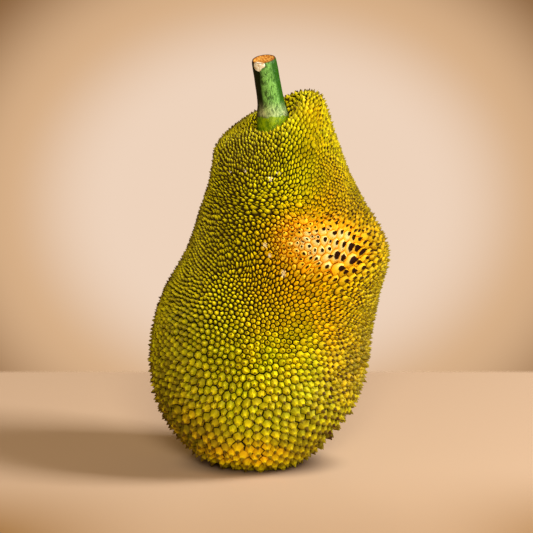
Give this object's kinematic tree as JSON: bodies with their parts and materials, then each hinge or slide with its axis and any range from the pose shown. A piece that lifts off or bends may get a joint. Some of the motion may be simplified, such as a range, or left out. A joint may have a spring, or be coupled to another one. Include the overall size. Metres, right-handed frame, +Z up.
{
  "type": "jackfruit",
  "caption": "Whole upright jackfruit, pear-shaped with a side lobe, covered in blunt spines, with a cut green stalk standing in the hollow of its crown.",
  "frame": {"origin": "centre of the small flat spot that the fruit rests on", "axes": "+Z up the standing fruit towards its stalk; -Y is the front; the side lobe swells towards +X"},
  "size_m": [0.2421, 0.2202, 0.4116],
  "materials": {
    "rind": "yellow-green waxy rind, satin on the spines, with dark grooves and brown spine tips",
    "stalk": "smooth green skin with a pale waxy bloom, satin, and an orange-brown cut end"
  },
  "bodies": {
    "root": {"fruit": "rind", "stalk": "stalk"}
  },
  "joints": []
}
